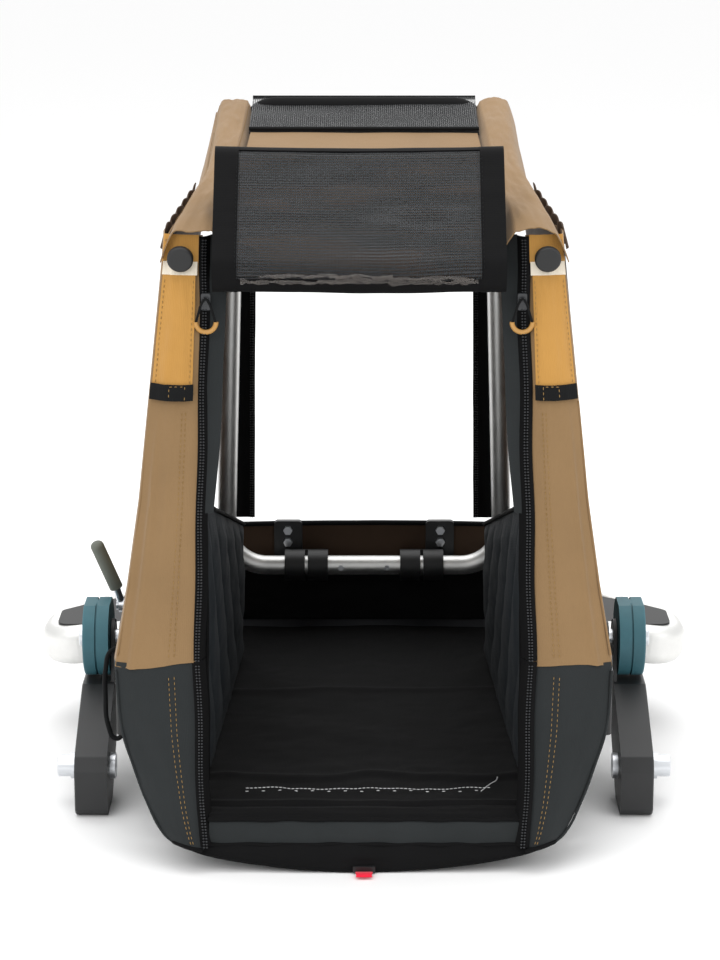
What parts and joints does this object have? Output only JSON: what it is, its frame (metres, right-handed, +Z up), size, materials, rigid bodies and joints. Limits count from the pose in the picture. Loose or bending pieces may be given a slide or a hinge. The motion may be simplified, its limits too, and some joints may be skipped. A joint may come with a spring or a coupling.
{
  "type": "child bicycle trailer",
  "caption": "Single child bicycle trailer body: folding hooped frame with fabric cabin, rolled-up entry cover, and sprung arms ready for wheels.",
  "frame": {"origin": "on the ground, in the middle of the bounding box", "axes": "+Y towards the towing end, -Y the entry, +Z up, X across"},
  "size_m": [0.792, 0.822, 0.761],
  "materials": {
    "alu": "clear anodised tube",
    "steel": "zinc plated",
    "black_alloy": "black powder coat, fine texture",
    "black_plastic": "moulded nylon",
    "board": "twin-wall board",
    "black_fabric": "coated polyester",
    "grey_fabric": "coated polyester, ripstop",
    "tan_fabric": "woven polyester",
    "brown_fabric": "woven polyester, inside face",
    "pad_fabric": "quilted polyester over foam",
    "mesh_fabric": "open mesh and clear film, rolled",
    "ochre_webbing": "woven polyester",
    "red_webbing": "narrow webbing",
    "zip": "coil zip on tape",
    "elastomer": "cast polyurethane, matte",
    "grip": "soft grip",
    "ochre_plastic": "moulded"
  },
  "bodies": {
    "chassis": {"side_rails": "alu", "far_cross_tube": "alu", "rail_plugs": "black_plastic", "corner_sockets": "black_plastic", "sill_tube": "alu", "post_pins": "steel", "hoop_plates": "black_alloy", "hoop_clamps": "black_plastic", "plate_bolts": "steel", "suspension_brackets": "black_alloy", "pivot_bolts": "steel", "guard_tubes": "alu", "guard_panels": "black_plastic", "guard_saddles": "black_plastic", "brake_bracket": "black_alloy", "brake_pin": "steel", "tub_fabric": "grey_fabric", "floor_board": "board", "floor_mat": "black_fabric", "side_pads": "pad_fabric", "entry_sill": "grey_fabric", "apron": "black_fabric", "buckle": "black_plastic", "far_panel": "brown_fabric", "side_walls": "tan_fabric", "skirts": "grey_fabric", "entry_corners": "grey_fabric", "zips_lower": "zip", "side_loop": "black_fabric"},
    "brake": {"brake_lever": "steel", "brake_grip": "grip"},
    "tab": {"pull_tab": "red_webbing"},
    "arm_left": {"swing_arm_left": "black_alloy", "elastomer_pad_left": "elastomer", "axle_sleeve_left": "steel"},
    "arm_right": {"swing_arm_right": "black_alloy", "elastomer_pad_right": "elastomer", "axle_sleeve_right": "steel"},
    "hoop": {"hoop_tube": "alu", "hoop_fasteners": "steel", "window_bands": "black_fabric"},
    "roof": {"roof_tube": "alu", "roof_sleeves": "tan_fabric", "roof_mesh": "mesh_fabric", "roof_panel": "tan_fabric", "cover_roll": "mesh_fabric"},
    "posts": {"post_tubes": "alu", "post_plugs": "black_plastic", "pillar_covers": "tan_fabric", "zips_upper": "zip", "ochre_straps": "ochre_webbing", "webbing_loops": "black_fabric", "frame_buttons": "black_plastic"},
    "slider_left": {"zip_slider_left": "zip"},
    "slider_right": {"zip_slider_right": "zip"},
    "pull_left": {"pull_cord_left": "black_fabric", "ring_pull_left": "ochre_plastic"},
    "pull_right": {"pull_cord_right": "black_fabric", "ring_pull_right": "ochre_plastic"}
  },
  "joints": [
    {"name": "hoop_fold", "type": "hinge", "parent": "chassis", "child": "hoop", "pos_m": [0, 0.285, 0.142], "axis": [1, 0, 0], "range_deg": [0, 40], "deforming": ["side_walls", "side_pads"]},
    {"name": "roof_fold", "type": "hinge", "parent": "hoop", "child": "roof", "pos_m": [0, 0.211, 0.716], "axis": [1, 0, 0], "range_deg": [0, 80]},
    {"name": "posts_fold", "type": "hinge", "parent": "chassis", "child": "posts", "pos_m": [0, -0.322, 0.206], "axis": [-1, 0, 0], "range_deg": [0, 78], "deforming": ["pillar_covers", "zips_upper", "ochre_straps", "webbing_loops"]},
    {"name": "suspension_left", "type": "hinge", "parent": "chassis", "child": "arm_left", "pos_m": [-0.31, -0.088, 0.168], "axis": [-1, 0, 0], "range_deg": [0, 15], "stiffness_Nm_per_rad": 120},
    {"name": "suspension_right", "type": "hinge", "parent": "chassis", "child": "arm_right", "pos_m": [0.31, -0.088, 0.168], "axis": [-1, 0, 0], "range_deg": [0, 15], "stiffness_Nm_per_rad": 120},
    {"name": "brake_turn", "type": "hinge", "parent": "chassis", "child": "brake", "pos_m": [-0.284, -0.028, 0.186], "axis": [-1, 0, 0], "range_deg": [0, 40]},
    {"name": "tab_turn", "type": "hinge", "parent": "chassis", "child": "tab", "pos_m": [0, -0.3973, 0.0035], "axis": [-1, 0, 0], "range_deg": [0, 80]},
    {"name": "slider_left_run", "type": "slide", "parent": "posts", "child": "slider_left", "axis": [0.0188, 0.2258, 0.974], "range_m": [-0.33, 0]},
    {"name": "slider_right_run", "type": "slide", "parent": "posts", "child": "slider_right", "axis": [-0.0188, 0.2258, 0.974], "range_m": [-0.33, 0]},
    {"name": "pull_left_swing", "type": "hinge", "parent": "slider_left", "child": "pull_left", "pos_m": [-0.1683, -0.2734, 0.603], "axis": [-1, 0, 0], "range_deg": [0, 75]},
    {"name": "pull_right_swing", "type": "hinge", "parent": "slider_right", "child": "pull_right", "pos_m": [0.1683, -0.2734, 0.603], "axis": [-1, 0, 0], "range_deg": [0, 75]}
  ],
  "couplings": [
    {"joint": "roof_fold", "follows": "hoop_fold", "ratio": 2},
    {"joint": "posts_fold", "follows": "hoop_fold", "ratio": 1.95}
  ]
}
